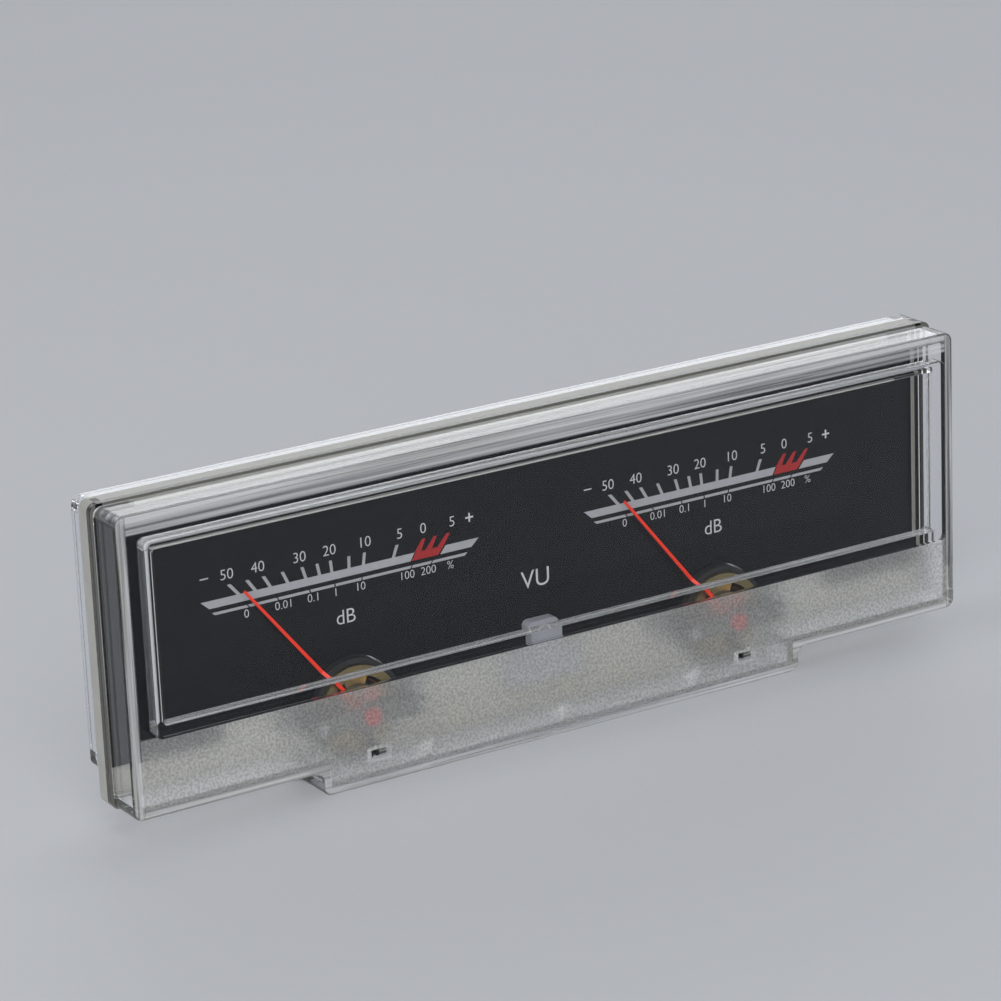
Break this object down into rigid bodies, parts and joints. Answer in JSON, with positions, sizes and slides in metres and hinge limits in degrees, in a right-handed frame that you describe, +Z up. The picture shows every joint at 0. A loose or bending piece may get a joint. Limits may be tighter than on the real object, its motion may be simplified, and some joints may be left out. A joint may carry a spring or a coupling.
{
  "type": "analog vu meter",
  "caption": "Wide panel level meter with twin moving-coil pointers behind a proud clear window in a stepped clear moulded case.",
  "frame": {"origin": "centre of the foot of the case's step, on the surface that it stands on", "axes": "+Z up, +X to the right seen from the window, the window faces -Y"},
  "size_m": [0.1348, 0.0184, 0.0452],
  "materials": {
    "clear_shell": "clear moulded acrylic, with a frosted lower band at the front",
    "milky_plastic": "milky off-white moulding",
    "dial_black": "gloss black with a grey and red printed scale",
    "white_plastic": "white translucent light guide",
    "board": "pale circuit board",
    "lamp_lens": "pale yellow lamp lens",
    "screw_steel": "zinc plated",
    "black_screw": "blackened",
    "tinned_brass": "tinned",
    "plated_steel": "yellow zinc plated",
    "magnet": "ground magnet alloy",
    "brass": "bright brass",
    "dull_nickel": "dull nickel plated",
    "red_sealed_brass": "sealed with red lacquer",
    "frame_plastic": "black moulding",
    "bare_aluminium": "thin bare strip",
    "copper_wire": "enamelled copper winding",
    "pivot_steel": "polished",
    "pointer_red": "thin strip painted red",
    "bronze_strip": "spring bronze strip"
  },
  "bodies": {
    "case": {"front_cover": "clear_shell", "rear_base": "milky_plastic", "rear_cover": "clear_shell", "dial_plate": "dial_black", "dial_screws": "black_screw", "light_diffuser": "white_plastic", "lamp_board": "board", "lamps": "lamp_lens", "rear_screws": "screw_steel", "movement_screws": "screw_steel", "terminal_pins": "tinned_brass", "left_yoke_ring": "plated_steel", "left_core_magnet": "magnet", "left_core_spacers": "brass", "left_movement_frame": "frame_plastic", "left_front_bridge": "dull_nickel", "left_bridge_screws": "screw_steel", "left_jewel_screws": "red_sealed_brass", "left_rear_hairspring": "bronze_strip", "right_yoke_ring": "plated_steel", "right_core_magnet": "magnet", "right_core_spacers": "brass", "right_movement_frame": "frame_plastic", "right_front_bridge": "dull_nickel", "right_bridge_screws": "screw_steel", "right_jewel_screws": "red_sealed_brass", "right_rear_hairspring": "bronze_strip"},
    "left_coil_and_pointer": {"left_pointer": "pointer_red", "left_coil_former": "bare_aluminium", "left_coil_winding": "copper_wire", "left_staffs": "pivot_steel", "left_balance_weights": "brass", "left_collets": "brass"},
    "left_adjuster": {"left_zero_lever": "frame_plastic", "left_front_hairspring": "bronze_strip"},
    "right_coil_and_pointer": {"right_pointer": "pointer_red", "right_coil_former": "bare_aluminium", "right_coil_winding": "copper_wire", "right_staffs": "pivot_steel", "right_balance_weights": "brass", "right_collets": "brass"},
    "right_adjuster": {"right_zero_lever": "frame_plastic", "right_front_hairspring": "bronze_strip"}
  },
  "joints": [
    {"name": "left_pointer_turn", "type": "hinge", "parent": "case", "child": "left_coil_and_pointer", "pos_m": [-0.03, -0.001, 0.0088], "axis": [0, 1, 0], "range_deg": [-5, 86], "stiffness_Nm_per_rad": 0.00006},
    {"name": "left_zero_adjust", "type": "hinge", "parent": "case", "child": "left_adjuster", "pos_m": [-0.03, -0.0033, 0.0088], "axis": [0, 1, 0], "range_deg": [-10, 10]},
    {"name": "right_pointer_turn", "type": "hinge", "parent": "case", "child": "right_coil_and_pointer", "pos_m": [0.03, -0.001, 0.0088], "axis": [0, 1, 0], "range_deg": [-5, 86], "stiffness_Nm_per_rad": 0.00006},
    {"name": "right_zero_adjust", "type": "hinge", "parent": "case", "child": "right_adjuster", "pos_m": [0.03, -0.0033, 0.0088], "axis": [0, 1, 0], "range_deg": [-10, 10]}
  ]
}
